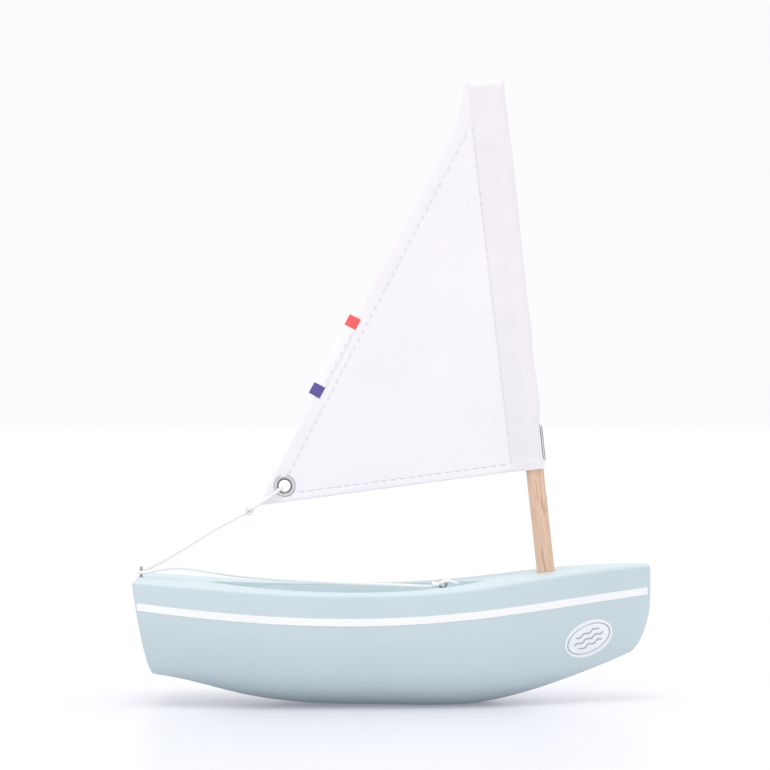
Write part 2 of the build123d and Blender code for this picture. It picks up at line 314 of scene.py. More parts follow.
def bare_ring(n):
    """1 in a narrow ring of bare wood round the mast's socket, where the paint has worn off."""
    from_axis = n.vector_math("CROSS_PRODUCT", n.vector_math("SUBTRACT", n.place, MAST_FOOT), MAST_UP)
    away = n.math("ADD", n.size(from_axis), n.math("MULTIPLY", n.noise(700.0), 0.0007))
    near = n.math("LESS_THAN", away, BARE_RING_RADIUS)
    height = n.part(n.place, "Z")
    return n.math("MULTIPLY", near, n.math("GREATER_THAN", height, BARE_RING_ABOVE))


def white_film(name, tint):
    """Thin white film with a slight unevenness."""
    n = Nodes(name)
    cloud = n.noise(60.0, 3.0)
    colour = n.ramp(cloud, [(0.3, tuple(0.97 * c for c in tint)), (0.7, tint)])
    normal = n.bump(n.noise(700.0, 2.0), 0.00003, 0.3)
    return n.finish(colour, n.between(cloud, 0.28, 0.4), normal)


def printed_oval():
    """White film printed with a thin oval line and three wavy ones."""
    n = Nodes("printed_oval")
    place = n.local(STICKER_MIDDLE, (0, -STICKER_TILT, 0), STICKER_RING)
    flat = n.vector_math("MULTIPLY", place, (1, 0, 1))
    from_middle = n.size(flat)
    off_ring = n.math("ABSOLUTE", n.math("SUBTRACT", from_middle, 1.0), 0.0)
    ring = n.math("LESS_THAN", off_ring, 0.036)
    across = n.part(place, "X")
    up = n.part(place, "Z")
    swell = n.math("MULTIPLY", n.math("SINE", n.math("MULTIPLY", across, 13.5), 0.0), 0.07)
    row = n.math("MULTIPLY", n.math("ADD", up, swell), 2.3)
    off_row = n.math("ABSOLUTE", n.math("SUBTRACT", row, n.math("ROUND", row, 0.0)), 0.0)
    waves = n.math("MULTIPLY", n.math("LESS_THAN", off_row, 0.16), n.math("LESS_THAN", from_middle, 0.71))
    ink = n.math("MAXIMUM", ring, waves)
    worn = n.math("MULTIPLY", ink, n.between(n.noise(900.0, 2.0), 0.55, 1.0))
    paper = n.ramp(n.noise(60.0), [(0.3, (0.88, 0.91, 0.935)), (0.7, (0.93, 0.945, 0.96))])
    colour = n.blend(worn, paper, (0.27, 0.36, 0.42))
    normal = n.bump(n.noise(700.0, 2.0), 0.00003, 0.3)
    return n.finish(colour, n.between(n.noise(80.0), 0.28, 0.4), normal)


def beech():
    """Bare beech: pale pinkish wood with short darker flecks along the grain."""
    n = Nodes("beech")
    rake = math.atan2(-MAST_UP.x, MAST_UP.z)
    long_way = n.scaled(900, 900, 26, (0, -rake, 0))
    fine_way = n.scaled(1500, 1500, 110, (0, -rake, 0))
    streak = n.noise(1.0, 5.0, long_way)
    fleck = n.noise(1.0, 2.0, fine_way)
    stops = [(0.25, (0.60, 0.37, 0.25)), (0.5, (0.76, 0.52, 0.38)), (0.75, (0.83, 0.62, 0.49))]
    colour = n.ramp(streak, stops)
    dark = n.ramp(fleck, [(0.34, (1, 1, 1)), (0.44, (0, 0, 0))])
    colour = n.blend(n.math("MULTIPLY", dark, 0.55), colour, (0.42, 0.20, 0.12))
    normal = n.bump(streak, 0.0002, 0.4)
    return n.finish(colour, n.between(streak, 0.5, 0.68), normal)


def cloth(name, tint, yarn=0.42 * MM, weave=0.5):
    """Plain-woven cotton with slubs, soft creases with painted shade in their hollows, and a little sheen."""
    n = Nodes(name)
    scale = math.pi / (10 * yarn)
    turned = n.scaled(1, 1, 1)
    warp = n.wave(scale, "X", 0.6, turned)
    weft = n.wave(scale, "Z", 0.6, turned)
    yarns = n.math("MULTIPLY", warp, weft)
    slub = n.noise(160.0, 3.0, n.scaled(1, 1, 7))
    crease_painted_shade = n.noise(38.0, 4.0, n.scaled(1.0, 1.0, 0.5))
    low = tuple(0.955 * c for c in tint)
    # Painted shade: the cloth is a little darker where its creases dip.
    colour = n.ramp(crease_painted_shade, [(0.3, low), (0.7, tint)])
    colour = n.blend(n.between(yarns, 0.05, 0.0), colour, tuple(0.6 * c for c in tint))
    colour = n.blend(n.between(slub, 0.0, 0.05), colour, tuple(0.8 * c for c in tint))
    normal = n.bump(crease_painted_shade, 0.0016, 0.35)
    normal = n.bump(yarns, 0.00006, weave, normal)
    rough = n.between(slub, 0.8, 0.95)
    return n.finish(
        colour, rough, normal, Sheen_Weight=0.25, Sheen_Roughness=0.6, Specular_IOR_Level=0.15
    )


def ribbon():
    """Woven ribbon: fine ribs, a violet square at its lower end and a red one at its upper."""
    n = Nodes("ribbon")
    lean = math.atan2(LEECH[2].x - LEECH[1].x, LEECH[2].z - LEECH[1].z)
    place = n.local(LABEL, (0, lean, 0), (LABEL_LENGTH, LABEL_LENGTH, LABEL_LENGTH))
    up = n.math("ADD", n.part(place, "Z"), 0.5)
    white = (0.965, 0.96, 0.97)
    stops = [(0.0, (0.118, 0.085, 0.330)), (0.135, white), (0.865, (0.93, 0.115, 0.110))]
    colour = n.ramp(up, stops, "CONSTANT")
    ribs = n.wave(30.0, "Z", 0.3, place)
    weft = n.wave(44.0, "X", 0.3, place)
    yarns = n.math("MULTIPLY", ribs, weft)
    colour = n.blend(n.between(yarns, 0.05, 0.0), colour, (0.35, 0.30, 0.42))
    normal = n.bump(yarns, 0.00008, 0.5)
    rough = n.between(n.noise(500.0), 0.55, 0.75)
    return n.finish(colour, rough, normal, Sheen_Weight=0.3, Specular_IOR_Level=0.3)


def spun_thread(name, tint):
    """Twisted yarn: fine fibres that run round it."""
    n = Nodes(name)
    fibre = n.noise(2600.0, 3.0, n.scaled(1, 1, 1))
    fuzz = n.noise(500.0, 2.0)
    colour = n.ramp(fibre, [(0.3, tuple(0.9 * c for c in tint)), (0.7, tint)])
    normal = n.bump(fibre, 0.00008, 0.6)
    return n.finish(colour, n.between(fuzz, 0.8, 0.95), normal, Sheen_Weight=0.3, Specular_IOR_Level=0.15)


def worn_metal(name, tint, rough_low, rough_high):
    """Bright plated metal with fine scratches and dull patches."""
    n = Nodes(name)
    patch = n.noise(400.0, 4.0)
    scratch = n.noise(1200.0, 2.0, n.scaled(1, 1, 14))
    colour = n.ramp(patch, [(0.3, tuple(0.8 * c for c in tint)), (0.65, tint)])
    normal = n.bump(scratch, 0.00004, 0.35)
    return n.finish(colour, n.between(patch, rough_low, rough_high), normal, Metallic=1.0)


def staple_painted_sheen():
    """Steel wire with a painted highlight along its middle and painted shade down both sides."""
    n = Nodes("staple_steel_painted_sheen")
    from_axis = n.vector_math("CROSS_PRODUCT", n.vector_math("SUBTRACT", n.place, MAST_FOOT), MAST_UP)
    off_highlight = n.math("ABSOLUTE", n.math("SUBTRACT", n.size(from_axis), STAPLE_OUT * MM), 0.0)
    share = n.math("MULTIPLY", n.math("ADD", off_highlight, n.math("MULTIPLY", n.noise(900.0), 0.00006)), 1500.0)
    # Painted highlight down the middle of the wire's outer run, seen from the side, and painted shade along
    # its edges.
    colour = n.ramp(share, [(0.22, (0.86, 0.86, 0.88)), (0.42, (0.12, 0.12, 0.13))])
    scratch = n.noise(1200.0, 2.0, n.scaled(1, 1, 14))
    normal = n.bump(scratch, 0.00004, 0.35)
    return n.finish(colour, n.between(scratch, 0.2, 0.36), normal, Metallic=1.0)


def eyelet_metal():
    """Nickel plate with painted reflection: painted shade down in the barrel and where the flange meets the
    cloth, and a painted highlight in a band on the flange.
    """
    n = Nodes("nickel_painted_reflection")
    away = n.size(n.vector_math("CROSS_PRODUCT", n.vector_math("SUBTRACT", n.place, EYELET), SIDE))
    patch = n.noise(900.0, 3.0)
    share = n.math("MULTIPLY", n.math("ADD", away, n.math("MULTIPLY", patch, 0.0003)), 1 / 0.004)
    dark = (0.16, 0.15, 0.16)
    painted_highlight = (0.80, 0.79, 0.81)
    # Painted reflection: dark and bright rings stand in for the surroundings mirrored in the plating.
    stops = [(0.53, dark), (0.62, (0.20, 0.19, 0.20)), (0.73, (0.66, 0.65, 0.67))]
    stops += [(0.80, painted_highlight), (0.93, (0.34, 0.33, 0.35))]
    colour = n.ramp(share, stops)
    normal = n.bump(n.noise(1500.0, 2.0), 0.00004, 0.4)
    return n.finish(colour, n.between(patch, 0.2, 0.36), normal, Metallic=1.0)


PAINT = painted_wood()
STRIPE = white_film("stripe_film", (0.95, 0.955, 0.965))
STICKER = printed_oval()
BEECH = beech()
SAILCLOTH = cloth("sailcloth", (0.940, 0.912, 0.945))
# The sleeve's cloth is a darker copy of the sailcloth: painted shade, as its doubled layers let less light
# through.
SLEEVE_CLOTH_PAINTED_SHADE = cloth("sleeve_cloth_painted_shade", (0.893, 0.860, 0.893))
THREAD = spun_thread("grey_thread", (0.82, 0.83, 0.84))
PALE_THREAD = spun_thread("pale_thread", (0.90, 0.90, 0.91))
RIBBON = ribbon()
COTTON = spun_thread("cotton_cord", (0.97, 0.965, 0.95))
NICKEL_PAINTED_REFLECTION = eyelet_metal()
ZINC = worn_metal("zinc_wire", (0.42, 0.42, 0.38), 0.30, 0.5)
STEEL_PAINTED_SHEEN = staple_painted_sheen()


def dress(node, material):
    """A CAD node keeps its shape and takes a detailed material."""
    mesh = frame["nodes"][node].data
    mesh.materials.clear()
    mesh.materials.append(material)


for cad_node, cad_material in (
    ("hull", PAINT),
    ("stripe_starboard", STRIPE),
    ("stripe_port", STRIPE),
    ("bow_sticker", STICKER),
    ("mast", BEECH),
):
    dress(cad_node, cad_material)


# ---- tubes, ropes and turned shapes ----------------------------------------------------

def place(name, made, materials, body, *nodes, slot):
    """Makes an object of a bmesh, rides it on a body and lets it stand for CAD nodes."""
    bmesh.ops.remove_doubles(made, verts=made.verts, dist=0.004 * MM)
    bmesh.ops.recalc_face_normals(made, faces=made.faces)
    mesh = bpy.data.meshes.new(name)
    made.to_mesh(mesh)
    made.free()
    for material in materials:
        mesh.materials.append(material)
    mesh.polygons.foreach_set("use_smooth", [True] * len(mesh.polygons))
    piece = bpy.data.objects.new(name, mesh)
    bpy.context.scene.collection.objects.link(piece)
    if body:
        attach(piece, body)
    if nodes:
        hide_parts(*nodes)
    return piece


def skin(made, rings, closed=True, material=0):
    """Joins rings of vertices, each to the next, with four-sided faces."""
    for ring, after in zip(rings, rings[1:]):
        count = len(ring)
        for i in range(count if closed else count - 1):
            j = (i + 1) % count
            face = made.faces.new((ring[i], ring[j], after[j], after[i]))
            face.material_index = material


def directions(line):
    """Forward, sideways and upward at each point of a line, with as little twist as can be."""
    found = []
    side = None
    for i in range(len(line)):
        forward = (line[min(i + 1, len(line) - 1)] - line[max(i - 1, 0)]).normalized()
        if side is None:
            side = forward.orthogonal()
        side = (side - forward * side.dot(forward)).normalized()
        found.append((forward, side, forward.cross(side)))
    return found


def tube(made, line, radius, sides=8):
    """A round tube along a line of points, closed at its ends by small domes."""
    rings = []
    last = len(line) - 1
    for i, (point, (forward, side, up)) in enumerate(zip(line, directions(line))):
        shrink = [(0, 1.0)]
        if i == 0:
            shrink = [(-0.9, 0.3), (-0.6, 0.75), (0, 1.0)]
        elif i == last:
            shrink = [(0, 1.0), (0.6, 0.75), (0.9, 0.3)]
        for ahead, share in shrink:
            centre = point + forward * (ahead * radius)
            ring = []
            for k in range(sides):
                turn = 2 * math.pi * k / sides
                out = side * math.cos(turn) + up * math.sin(turn)
                ring.append(made.verts.new(centre + out * (radius * share)))
            rings.append(ring)
    skin(made, rings)
    made.faces.new(rings[0])
    made.faces.new(rings[-1])


def rope(made, line, radius, lay, strands=3, sides=7):
    """Twisted strands that follow a line of points."""
    frames = directions(line)
    for k in range(strands):
        travelled = 0.0
        strand = []
        for i, (point, (_, side, up)) in enumerate(zip(line, frames)):
            if i:
                travelled += (point - line[i - 1]).length
            turn = 2 * math.pi * (travelled / lay + k / strands)
            out = side * math.cos(turn) + up * math.sin(turn)
            strand.append(point + out * (0.48 * radius))
        tube(made, strand, 0.52 * radius, sides)


def lathe(made, centre, outline, segments=56):
    """Turns a closed outline of (radius, distance to port) about an axis across the boat."""
    rings = []
    for radius, port in outline + outline[:1]:
        ring = []
        for k in range(segments):
            turn = 2 * math.pi * k / segments
            ring.append(made.verts.new(centre + mm(radius * math.cos(turn), port, radius * math.sin(turn))))
        rings.append(ring)
    skin(made, rings)


# ---- the sheet: one cotton cord in four stretches, with two knots ----------------------

CORD_RADIUS = 0.6 * MM
CORD_LAY = 3.4 * MM
CLEW_KNOT = mm(-45.9, 0, 62.5)
COCKPIT_KNOT = mm(14.6, 0, 37.8)

CLEW_LOOP = [
    (-44.9, -0.8, 63.2),
    (-38.2, -1.45, 67.9),
    (-35.5, -1.4, 69.95),
    (-35.5, 1.4, 69.95),
    (-38.2, 1.45, 67.9),
    (-44.9, 0.8, 63.2),
]
SHEET_SPAN = [
    (-80.2, 0.0, 43.1),
    (-75.2, 0.0, 45.5),
    (-66.0, 0.0, 51.1),
    (-56.0, 0.0, 57.3),
    (-47.4, 0.0, 61.75),
]
SHEET_DECK_RUN = [
    (-80.47, 0.0, 43.0),
    (-82.5, 0.0, 43.0),
    (-82.5, -2.7, 42.8),
    (-79.6, -3.0, 42.5),
    (-74.0, -2.6, 43.9),
    (-67.5, -2.0, 44.2),
    (-60.0, -1.6, 43.0),
    (-50.5, -1.1, 41.4),
    (-37.0, -0.7, 40.2),
    (-20.0, -0.3, 39.2),
    (-4.0, 0.0, 38.5),
    (12.9, 0.0, 37.8),
]
SHEET_TAIL = [
    (15.2, -1.3, 38.3),
    (17.2, -1.5, 39.6),
    (19.6, -1.4, 39.6),
    (21.9, -1.1, 38.6),
]


def smooth_line(route):
    """The points of the smooth line through a route in millimetres, read from its NURBS spline."""
    curve = bpy.data.curves.new("route", "CURVE")
    curve.dimensions = "3D"
    spline = curve.splines.new("NURBS")
    spline.points.add(len(route) - 1)
    for point, (x, y, z) in zip(spline.points, route):
        point.co = (x * MM, y * MM, z * MM, 1)
    spline.order_u = 3
    spline.use_endpoint_u = True
    spline.resolution_u = 22
    guide = bpy.data.objects.new("route", curve)
    mesh = bpy.data.meshes.new_from_object(guide)
    line = [v.co.copy() for v in mesh.vertices]
    bpy.data.meshes.remove(mesh)
    bpy.data.objects.remove(guide)
    bpy.data.curves.remove(curve)
    return line


def cord_piece(name, line, body, node):
    made = bmesh.new()
    rope(made, line, CORD_RADIUS, CORD_LAY)
    return place(name, made, [COTTON], body, node, slot="sheet_cord")


def overhand_knot(name, centre, body, node, spin):
    """A small overhand knot: the cord goes round itself like a trefoil."""
    made = bmesh.new()
    line = []
    steps = 90
    for i in range(steps + 1):
        turn = 2 * math.pi * (0.02 + 0.96 * i / steps)
        out = 0.95 + 0.42 * math.cos(1.5 * turn * 2)
        local = mm(out * math.cos(2 * turn), 0.62 * math.sin(1.5 * turn * 2), out * math.sin(2 * turn))
        local.rotate(Vector((0, 1, 0)).rotation_difference(Vector((math.sin(spin), math.cos(spin), 0.3))))
        line.append(centre + local)
    rope(made, line, 0.52 * MM, CORD_LAY)
    return place(name, made, [COTTON], body, node, slot="sheet_cord")


def sheet_cords():
    clew_knot = overhand_knot("clew_overhand_knot", CLEW_KNOT, "rig", "clew_knot", 0.5)
    cockpit_knot = overhand_knot("cockpit_overhand_knot", COCKPIT_KNOT, "hull", "cockpit_knot", 0.9)
    loop = cord_piece("clew_cord_loop", smooth_line(CLEW_LOOP), "rig", "clew_loop")
    tail = cord_piece("sheet_cord_tail", smooth_line(SHEET_TAIL), "hull", "sheet_tail")

    span_line = smooth_line(SHEET_SPAN)
    span = cord_piece("sheet_cord_span", span_line, None, "sheet_span")
    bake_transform(span)

    run_line = smooth_line(SHEET_DECK_RUN)
    run = cord_piece("sheet_cord_deck_run", run_line, "hull", "sheet_deck_run")


# ---- sail ------------------------------------------------------------------------------

SLEEVE_FOOT_Z = 75.2 * MM
SLEEVE_HEAD_Z = 202.2 * MM
SLEEVE_BACK_FOOT = 7.55 * MM
SLEEVE_BACK_TOP = 8.4 * MM
SLEEVE_INSIDE = 3.06 * MM
SLEEVE_OUTSIDE = 3.62 * MM
SLEEVE_PINCH = 0.2 * MM
STAPLE_REACH = 6.0 * MM
PRESSED_CLOTH = 0.5 * MM
SLEEVE_STEPS = 18

HALF_CLOTH = 0.24 * MM
HALF_HEM = 0.37 * MM
HEM_ROUND = 0.35 * MM
LEECH_HEM = 4.2 * MM
FOOT_HEM = 2.8 * MM
HEM_MARGIN = 0.8 * MM
FULLNESS = 1.7 * MM
LEECH_STEPS = (0.0, 0.08, 0.25, 0.8, 1.8, 2.8, 3.6, 4.2, 4.7, 5.2, 6.2)
FOOT_STEPS = (0.0, 0.08, 0.25, 0.8, 1.6, 2.3, 2.8, 3.3, 3.8, 4.6)
HEAD_STEPS = (1.1, 0.6, 0.2, 0.0)
ROWS = 124
COLUMNS = 62
HEAD_CLOSING = 1.3 * MM
CLEW_HOLE = 2.9 * MM


def seam_at(z):
    """The point behind the mast where the sleeve is sewn shut, at height z."""
    share = (z - SLEEVE_FOOT_Z) / (SLEEVE_HEAD_Z - SLEEVE_FOOT_Z)
    return mast_at(z) - Vector((mix(SLEEVE_BACK_FOOT, SLEEVE_BACK_TOP, share), 0, 0))


SEAM = [seam_at(SLEEVE_FOOT_Z), seam_at(SLEEVE_HEAD_Z)]
FOOT = [LEECH[0], SEAM[0]]


def fullness(point):
    """How far the cloth stands to port of the centreline: a shallow belly with soft ripples."""
    leech = distance_to(point, LEECH)
    foot = distance_to(point, FOOT)
    seam = distance_to(point, SEAM)
    belly = FULLNESS * smooth(leech / 0.040) * smooth(foot / 0.050) * smooth(seam / 0.034)
    flat = Vector((point.x, 0, point.z))
    calm = smooth((flat - EYELET).length / 0.020) * smooth(seam / 0.012)
    broad = noise.noise(flat * 42.0 + Vector((3.1, 0, 0.4)))
    fine = noise.noise(Vector((point.x * 150, 7.7, point.z * 60)))
    return belly + calm * (0.55 * MM * broad + 0.12 * MM * fine)


def half_thickness(point):
    """Half the cloth's thickness: doubled in the hems, drawn in along their stitching."""
    leech = distance_to(point, LEECH)
    foot = distance_to(point, FOOT)
    single = smooth((leech - LEECH_HEM) / HEM_MARGIN) * smooth((foot - FOOT_HEM) / HEM_MARGIN)
    half = mix(HALF_HEM, HALF_CLOTH, single)
    stitched = max(hump(leech - LEECH_HEM, 0.4 * MM), hump(foot - FOOT_HEM, 0.4 * MM))
    half *= 1 - 0.45 * stitched
    half *= 1 - 0.3 * hump(distance_to(point, SEAM), 0.8 * MM)
    round_off = 1 - min(1.0, min(leech, foot) / HEM_ROUND)
    half *= math.sqrt(max(0.0, 1 - round_off**2))
    pressed = 1 - smooth(((point - EYELET).length - 3.6 * MM) / (1.2 * MM))
    return mix(half, min(half, HALF_CLOTH), pressed)


def on_cloth(point, face, proud=0.0):
    """A point on the starboard (-1) or port (1) face of the panel."""
    flat = Vector((point.x, 0, point.z))
    return flat + SIDE * (fullness(flat) + face * (half_thickness(flat) + proud))


def rises():
    """How far up the leech and up the seam each row of the cloth lies."""
    leech_long = line_length(LEECH)
    seam_long = line_length(SEAM)
    low = FOOT_STEPS[-1] * MM
    high = HEAD_STEPS[0] * MM
    rows = [(step * MM, step * MM) for step in FOOT_STEPS]
    for i in range(1, ROWS):
        share = i / ROWS
        rows.append((mix(low, leech_long - high, share), mix(low, seam_long - high, share)))
    return rows + [(leech_long - step * MM, seam_long - step * MM) for step in HEAD_STEPS]


def row_points(start, end):
    """Points from the leech to the seam, close together in the hem and even beyond it."""
    way = end - start
    slope = (LEECH[2] - LEECH[1]).normalized().z
    margin = LEECH_STEPS[-1] * MM / slope
    shrink = min(1.0, 0.7 * way.length / margin)
    steps = [step * MM / slope * shrink for step in LEECH_STEPS]
    steps += [mix(steps[-1], way.length, (i + 1) / COLUMNS) for i in range(COLUMNS)]
    return [start + way.normalized() * step for step in steps]


def sleeve_crease(point, around):
    """How far the sleeve stands out in soft creases; none where the staple holds it down."""
    slant = noise.noise(Vector((around * 1.3, point.z * 95, 2.0)))
    fine = noise.noise(Vector((around * 3.0, point.z * 260, 5.0)))
    held = smooth((abs(point.z - STAPLE_Z) - 6 * MM) / (5 * MM))
    return held * (0.42 * MM * max(0.0, slant + 0.15) + 0.10 * MM * max(0.0, fine))


def staple_press(z):
    """How far the staple presses the front of the sleeve in at height z."""
    return PRESSED_CLOTH * (1 - smooth((abs(z - STAPLE_Z) - STAPLE_REACH) / (4 * MM)))


def sleeve_ring(seam, radius, half, tail_less=0.0, creased=True):
    """A ring of the sleeve, square to the mast, from the seam's starboard face round to port."""
    centre = MAST_FOOT + MAST_UP * (seam - MAST_FOOT).dot(MAST_UP)
    tail = (centre - seam).dot(MAST_FRONT) - tail_less
    turn = math.acos(radius / tail)
    flank = []
    for share in (0.1, 0.22, 0.4, 0.6, 0.8):
        forward = mix(-tail, -radius * math.cos(turn), share)
        out = mix(half, radius * math.sin(turn), share) - SLEEVE_PINCH * math.sin(math.pi * share)
        flank.append((forward, out))
    start = math.pi - turn
    arc = [mix(-start, start, i / SLEEVE_STEPS) for i in range(SLEEVE_STEPS + 1)]
    outline = [(forward, -out) for forward, out in flank]
    outline += [(radius * math.cos(angle), radius * math.sin(angle)) for angle in arc]
    outline += list(reversed(flank))
    closing = mix(0.3, 1.0, smooth((SLEEVE_HEAD_Z - seam.z) / HEAD_CLOSING))
    ring = []
    for forward, across in outline:
        out = Vector((max(0.0, forward), across)).normalized()
        proud = 0.0
        if creased:
            proud = sleeve_crease(seam, math.atan2(across, forward))
            proud -= staple_press(seam.z) * max(0.0, forward) / radius
        out *= proud
        ring.append(centre + MAST_FRONT * (forward + out.x) + SIDE * ((across + out.y) * closing))
    return ring


def sail():
    """One cloth: two faces of the panel, carried on round the mast as a sleeve."""
    made = bmesh.new()
    loops = []
    panel = len(LEECH_STEPS) + COLUMNS
    for leech_rise, seam_rise in rises():
        end = along(SEAM, seam_rise)
        flat = row_points(along(LEECH, leech_rise), end)
        hem = 0.16 * MM * (1 - smooth((seam_rise - FOOT_HEM) / HEM_MARGIN))
        ring = sleeve_ring(end, SLEEVE_OUTSIDE + hem, half_thickness(end))
        points = [on_cloth(p, -1) for p in flat] + ring + [on_cloth(p, 1) for p in reversed(flat)]
        loops.append([made.verts.new(p) for p in points])
    across = len(loops[0])
    for row, after in zip(loops, loops[1:]):
        for i in range(across):
            j = (i + 1) % across
            face = made.faces.new((row[i], row[j], after[j], after[i]))
            # The sleeve's faces take the darker copy of the cloth, which is painted shade.
            face.material_index = 1 if panel <= j and i < across - panel else 0
    top = loops[-1]
    for i in range(across // 2 - 1):
        made.faces.new((top[i], top[i + 1], top[across - 2 - i], top[across - 1 - i]))
    rim = loops[0][panel - 1 : across - panel + 1]
    inner = [rim]
    for rise in (0.0, 0.6, 2.0, 5.0, 10.0, 16.0):
        ring = sleeve_ring(along(SEAM, rise * MM), SLEEVE_INSIDE, 0.02 * MM, 0.9 * MM, False)
        ring = [ring[0]] + ring + [ring[-1]]
        inner.append([made.verts.new(p) for p in ring])
    skin(made, inner, closed=False, material=1)
    pierce(made)
    return place("sail_cloth", made, [SAILCLOTH, SLEEVE_CLOTH_PAINTED_SHADE], "rig", "sail", slot="sail_cloth")


def pierce(made):
    """Cuts the clew's hole, whose edge the eyelet covers."""
    inside = [f for f in made.faces if (f.calc_center_median() - EYELET).length < CLEW_HOLE]
    bmesh.ops.delete(made, geom=inside, context="FACES")
    for v in made.verts:
        flat = Vector((v.co.x - EYELET.x, 0, v.co.z - EYELET.z))
        if v.is_boundary and flat.length < 1.4 * CLEW_HOLE:
            v.co = Vector((EYELET.x, v.co.y, EYELET.z)) + flat.normalized() * CLEW_HOLE


# ---- stitching -------------------------------------------------------------------------

STITCH_PITCH = 3.0 * MM
THREAD_RADIUS = 0.16 * MM


def stitch_row(name, start, end, node, stitch, face_point=on_cloth):
    """A straight row of lockstitches: on each face, threads that arch between needle holes."""
    made = bmesh.new()
    run = end - start
    count = int(run.length / STITCH_PITCH)
    for i in range(count):
        for face in (-1, 1):
            centre = start + run * ((i + 0.5) / count)
            way = run.normalized() + Vector((random.uniform(-1, 1), 0, random.uniform(-1, 1))) * 0.03
            line = []
            for step in range(-4, 5):
                share = step / 4
                rise = THREAD_RADIUS * (0.9 - 2.6 * share**4)
                line.append(face_point(centre + way * (share * stitch / 2), face, rise))
            tube(made, line, THREAD_RADIUS, 7)
    return place(name, made, [THREAD], "rig", node, slot="thread")


def inward_from(a, b):
    """The direction into the sail, square to an edge that runs from a to b."""
    way = (b - a).normalized()
    return way, Vector((way.z, 0, -way.x))


def on_seam(point, face, proud=0.0):
    """A point on the sleeve's pinched back, where its stitching lies."""
    return Vector((point.x, face * (0.75 * HALF_CLOTH + proud + 0.02 * MM), point.z))


def stitching():
    low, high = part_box("seam_stitching")
    stitch_row("seam_thread", seam_at(low.z), seam_at(high.z), "seam_stitching", 2.85 * MM, on_seam)
    up, inward = inward_from(LEECH[1], LEECH[2])
    start = LEECH[1] + inward * LEECH_HEM + up * 8.5 * MM
    stitch_row("leech_thread", start, LEECH[2] + inward * LEECH_HEM, "leech_stitching", 1.9 * MM)
    forward, down = inward_from(FOOT[0], FOOT[1])
    start = FOOT[0] + forward * 12.0 * MM - down * FOOT_HEM
    end = FOOT[1] - forward * 1.2 * MM - down * FOOT_HEM
    stitch_row("foot_thread", start, end, "foot_stitching", 2.8 * MM)


# ---- woven label -----------------------------------------------------------------------

LABEL_INSIDE = 1.8 * MM
LABEL_OUTSIDE = 2.2 * MM
LABEL_STATIONS = 40


def label_face(point, face, proud=0.0):
    """A point on the label, over the cloth or beyond its edge."""
    flat = Vector((point.x, 0, point.z))
    return flat + SIDE * (fullness(flat) + face * (HALF_HEM + 0.26 * MM + proud))


def label():
    """A ribbon folded over the edge of the leech, with slightly wavy selvedges."""
    made = bmesh.new()
    up, inward = inward_from(LEECH[1], LEECH[2])
    outline = [(1.0, -0.96), (0.93, -1.0), (0.5, -1.0), (0.0, -0.98)]
    outline += [(-0.4, -0.86), (-0.75, -0.66), (-0.95, -0.38)]
    outline += [(-1.0, 0.0)] + [(across, -deep) for across, deep in reversed(outline)]
    rings = []
    for i in range(LABEL_STATIONS + 1):
        centre = LABEL + up * (LABEL_LENGTH * (i / LABEL_STATIONS - 0.5))
        centre += inward * ((LABEL_OUTSIDE - LABEL_INSIDE) / 2)
        wavy = 0.12 * MM * noise.noise(centre * 330)
        belly = fullness(centre)
        ring = []
        for across, deep in outline:
            reach = across * (LABEL_INSIDE if across > 0 else LABEL_OUTSIDE) + wavy
            thick = deep * (HALF_HEM + 0.26 * MM)
            ring.append(made.verts.new(centre + inward * reach + SIDE * (belly + thick)))
        rings.append(ring)
    skin(made, rings)
    made.faces.new(rings[0])
    made.faces.new(rings[-1])
    return place("woven_label", made, [RIBBON], "rig", "leech_label", slot="label_ribbon")


def label_stitches():
    up, inward = inward_from(LEECH[1], LEECH[2])
    edge = LABEL + inward * ((LABEL_OUTSIDE - LABEL_INSIDE) / 2 + 1.0 * MM)
    reach = up * (LABEL_LENGTH / 2 - 4.6 * MM)
    row = stitch_row("label_thread", edge - reach, edge + reach, "label_stitching", 1.6 * MM, label_face)
    row.data.materials[0] = PALE_THREAD


# ---- metal -----------------------------------------------------------------------------

def eyelet():
    """The barrel with its rolled flange to starboard, turned over the washer to port."""
    made = bmesh.new()
    flange = [(3.6, -0.26), (3.58, -0.46), (3.42, -0.62), (3.1, -0.72)]
    flange += [(2.7, -0.74), (2.3, -0.66), (2.05, -0.5)]
    barrel = [(1.95, -0.25), (1.95, 0.3), (2.03, 0.58)]
    turned_over = [(2.2, 0.78), (2.5, 0.86), (2.8, 0.8), (2.95, 0.66), (2.6, 0.6), (2.25, 0.5), (2.25, -0.26)]
    lathe(made, EYELET, flange + barrel + turned_over)
    place("clew_eyelet_metal", made, [NICKEL_PAINTED_REFLECTION], "rig", "clew_eyelet", slot="eyelet_metal")
    made = bmesh.new()
    lathe(made, EYELET, [(2.3, 0.27), (2.3, 0.52), (2.9, 0.62), (3.35, 0.6), (3.55, 0.48), (3.6, 0.27)])
    place("clew_washer_metal", made, [NICKEL_PAINTED_REFLECTION], "rig", "clew_washer", slot="eyelet_metal")


def staple():
    """Round wire over the front of the sleeve, its two legs driven into the mast."""
    made = bmesh.new()
    bend = [(-1.4, 5.85), (2.7, 5.85), (3.17, 5.8), (3.42, 5.6), (STAPLE_OUT, 5.3), (STAPLE_OUT, 2.0)]
    line = [(out, up) for out, up in bend] + [(out, -up) for out, up in reversed(bend)]
    centre = mast_at(STAPLE_Z)
    tube(made, [centre + (MAST_FRONT * out + MAST_UP * up) * MM for out, up in line], 0.42 * MM, 12)
    place("luff_staple_wire", made, [STEEL_PAINTED_SHEEN], "rig", "luff_staple", slot="staple_wire")


# The ring's radius, in millimetres.
EYE_RADIUS = 1.15
EYE_WIRE = 0.44 * MM
SCREW_THREAD_OUT = 0.42 * MM
STERN_DECK_Z = 41.1 * MM
COCKPIT_FLOOR_Z = 31.5 * MM
STERN_EYE_BELOW_TOP = 2.4 * MM
COCKPIT_EYE_BELOW_TOP = 1.6 * MM


